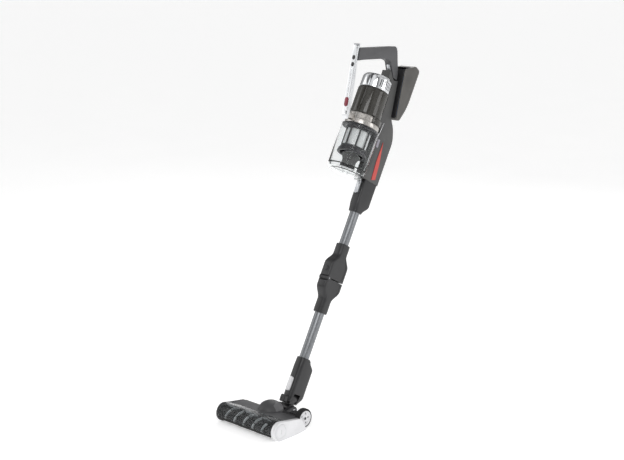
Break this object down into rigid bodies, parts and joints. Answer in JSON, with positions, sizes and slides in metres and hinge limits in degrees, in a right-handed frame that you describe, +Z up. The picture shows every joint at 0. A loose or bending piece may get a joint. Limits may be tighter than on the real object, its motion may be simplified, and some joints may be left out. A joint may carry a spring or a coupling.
{
  "type": "cordless stick vacuum",
  "caption": "Cordless stick vacuum: roller floor head, folding two-tube wand, and a handheld unit with clear cyclone bin, motor, loop handle and clip-on battery.",
  "frame": {"origin": "on the floor, at the middle of the pile strip under the floor head", "axes": "+Z up; the front of the head faces -Y and its roller lies along X; the wand leans back towards +Y"},
  "size_m": [0.2455, 0.748, 1.0982],
  "materials": {
    "black_moulding": "fine satin moulded ABS",
    "cover_grey": "satin moulded ABS",
    "connector_black": "semi-gloss ABS",
    "handle_grey": "fine-textured ABS",
    "spine_grey": "fine-textured ABS",
    "white_gloss": "gloss white ABS",
    "rubber_black": "moulded rubber",
    "bristle": "nylon bristle and pile",
    "pile": "woven pile",
    "steel": "turned steel",
    "motor_can": "drawn can",
    "tube_aluminium": "satin anodised",
    "plated": "chrome plated ABS",
    "clear_bin": "clear polycarbonate",
    "smoked": "smoked gloss polycarbonate",
    "mesh_steel": "etched mesh",
    "stripe_red": "gloss film",
    "button_red": "gloss ABS",
    "filter_paper": "pleated paper",
    "board_green": "printed board",
    "cell_wrap": "shrink-wrapped steel cans",
    "button_grey": "satin painted ABS"
  },
  "bodies": {
    "floor_head": {"head_housing": "black_moulding", "top_cover": "cover_grey", "roller_window": "clear_bin", "side_cap_right": "white_gloss", "side_cap_left": "black_moulding", "sole_plate": "black_moulding", "pile_strip": "pile", "head_motor": "motor_can", "drive_belt": "rubber_black", "suction_duct": "black_moulding", "wheel_axle": "steel", "neck_pin": "steel"},
    "roller": {"brush_roller": "bristle", "roller_pulley": "rubber_black"},
    "roller_drive": {"motor_pulley": "steel"},
    "end_cap": {"roller_end_cap": "white_gloss"},
    "wheel": {"wheel_tyre": "rubber_black", "wheel_hub": "white_gloss"},
    "castor": {"castor_wheel": "rubber_black"},
    "neck": {"neck_knuckle": "connector_black", "swivel_pin": "connector_black"},
    "connector": {"lower_connector": "connector_black"},
    "nozzle_button": {"nozzle_release_button": "white_gloss"},
    "lower_wand": {"lower_tube": "tube_aluminium", "fold_lower_shell": "connector_black", "fold_pin": "steel"},
    "upper_wand": {"fold_upper_shell": "connector_black", "fold_latch": "steel", "upper_tube": "tube_aluminium"},
    "fold_button": {"fold_release_button": "black_moulding"},
    "handheld": {"wand_socket": "connector_black", "spine_shell_right": "spine_grey", "spine_shell_left": "spine_grey", "red_stripe_right": "stripe_red", "red_stripe_left": "stripe_red", "control_board": "board_green", "cyclone_frame": "black_moulding", "shroud_mesh": "mesh_steel", "cyclone_cone": "spine_grey", "collar_ring": "plated", "motor_housing": "smoked", "suction_motor": "motor_can", "filter_element": "filter_paper", "front_strip": "plated", "handle_shell_right": "handle_grey", "handle_shell_left": "handle_grey"},
    "wand_button": {"wand_release_button": "button_grey"},
    "bin": {"bin_cup": "clear_bin"},
    "lid": {"bin_lid": "clear_bin"},
    "bin_catch": {"bin_latch": "button_grey"},
    "fan": {"impeller": "button_grey"},
    "cap": {"filter_cap": "plated"},
    "battery": {"battery_case": "spine_grey", "battery_cover": "black_moulding", "battery_cells": "cell_wrap"},
    "battery_catch": {"battery_release": "black_moulding"},
    "trigger_key": {"trigger": "button_grey"},
    "power_key": {"red_button": "button_red"},
    "mode_key_lower": {"mode_button_lower": "black_moulding"},
    "mode_key_upper": {"mode_button_upper": "black_moulding"}
  },
  "joints": [
    {"name": "roller_spin", "type": "hinge", "parent": "floor_head", "child": "roller", "pos_m": [0, -0.03, 0.028], "axis": [1, 0, 0], "continuous": true},
    {"name": "motor_pulley_spin", "type": "hinge", "parent": "floor_head", "child": "roller_drive", "pos_m": [0.091, 0.028, 0.022], "axis": [1, 0, 0], "continuous": true},
    {"name": "end_cap_twist", "type": "hinge", "parent": "floor_head", "child": "end_cap", "pos_m": [0.12, -0.03, 0.028], "axis": [1, 0, 0], "range_deg": [0, 45]},
    {"name": "wheel_spin", "type": "hinge", "parent": "floor_head", "child": "wheel", "pos_m": [0.094, 0.092, 0.029], "axis": [1, 0, 0], "continuous": true},
    {"name": "castor_spin", "type": "hinge", "parent": "floor_head", "child": "castor", "pos_m": [-0.094, 0.04, 0.012], "axis": [1, 0, 0], "continuous": true},
    {"name": "neck_pitch", "type": "hinge", "parent": "floor_head", "child": "neck", "pos_m": [0, 0.118, 0.028], "axis": [1, 0, 0], "range_deg": [-40, 28.6]},
    {"name": "neck_steer", "type": "hinge", "parent": "neck", "child": "connector", "pos_m": [0, 0.13332, 0.0561], "axis": [0, 0.878, -0.4787], "range_deg": [-30, 30]},
    {"name": "nozzle_press", "type": "slide", "parent": "connector", "child": "nozzle_button", "axis": [0, 0.878, -0.4787], "range_m": [0, 0.0025], "stiffness_N_per_m": 500},
    {"name": "nozzle_pull_off", "type": "slide", "parent": "connector", "child": "lower_wand", "axis": [0, 0.4787, 0.878], "range_m": [0, 0.055]},
    {"name": "wand_fold", "type": "hinge", "parent": "lower_wand", "child": "upper_wand", "pos_m": [0, 0.28745, 0.40146], "axis": [1, 0, 0], "range_deg": [0, 90]},
    {"name": "fold_press", "type": "slide", "parent": "upper_wand", "child": "fold_button", "axis": [0, 0.878, -0.4787], "range_m": [0, 0.0025], "stiffness_N_per_m": 500},
    {"name": "wand_pull_off", "type": "slide", "parent": "upper_wand", "child": "handheld", "axis": [0, 0.4787, 0.878], "range_m": [0, 0.038]},
    {"name": "wand_press", "type": "slide", "parent": "handheld", "child": "wand_button", "axis": [0, 0.878, -0.4787], "range_m": [0, 0.0025], "stiffness_N_per_m": 500},
    {"name": "bin_slide", "type": "slide", "parent": "handheld", "child": "bin", "axis": [0, -0.4787, -0.878], "range_m": [0, 0.15]},
    {"name": "bin_lid_hinge", "type": "hinge", "parent": "bin", "child": "lid", "pos_m": [0, 0.43265, 0.68448], "axis": [1, 0, 0], "range_deg": [0, 75]},
    {"name": "bin_catch_slide", "type": "slide", "parent": "handheld", "child": "bin_catch", "axis": [0, -0.4787, -0.878], "range_m": [0, 0.008], "stiffness_N_per_m": 500},
    {"name": "fan_spin", "type": "hinge", "parent": "handheld", "child": "fan", "pos_m": [0, 0.48977, 0.92442], "axis": [0, 0.4787, 0.878], "continuous": true},
    {"name": "filter_cap_twist", "type": "hinge", "parent": "handheld", "child": "cap", "pos_m": [0, 0.50317, 0.949], "axis": [0, 0.4787, 0.878], "range_deg": [0, 30]},
    {"name": "battery_slide", "type": "slide", "parent": "handheld", "child": "battery", "axis": [0, 0.2728, 0.9621], "range_m": [0, 0.08]},
    {"name": "battery_press", "type": "slide", "parent": "battery", "child": "battery_catch", "axis": [0, -0.4787, -0.878], "range_m": [0, 0.0013], "stiffness_N_per_m": 500},
    {"name": "trigger_pull", "type": "slide", "parent": "handheld", "child": "trigger_key", "axis": [0, 0.9704, 0.2416], "range_m": [0, 0.003], "stiffness_N_per_m": 500},
    {"name": "power_press", "type": "slide", "parent": "handheld", "child": "power_key", "axis": [0, 0.9715, -0.2368], "range_m": [0, 0.0012], "stiffness_N_per_m": 500},
    {"name": "mode_press_lower", "type": "slide", "parent": "handheld", "child": "mode_key_lower", "axis": [0, 0.9715, -0.2368], "range_m": [0, 0.0012], "stiffness_N_per_m": 500},
    {"name": "mode_press_upper", "type": "slide", "parent": "handheld", "child": "mode_key_upper", "axis": [0, 0.9715, -0.2368], "range_m": [0, 0.0012], "stiffness_N_per_m": 500}
  ],
  "couplings": [
    {"joint": "motor_pulley_spin", "follows": "roller_spin", "ratio": 2}
  ]
}
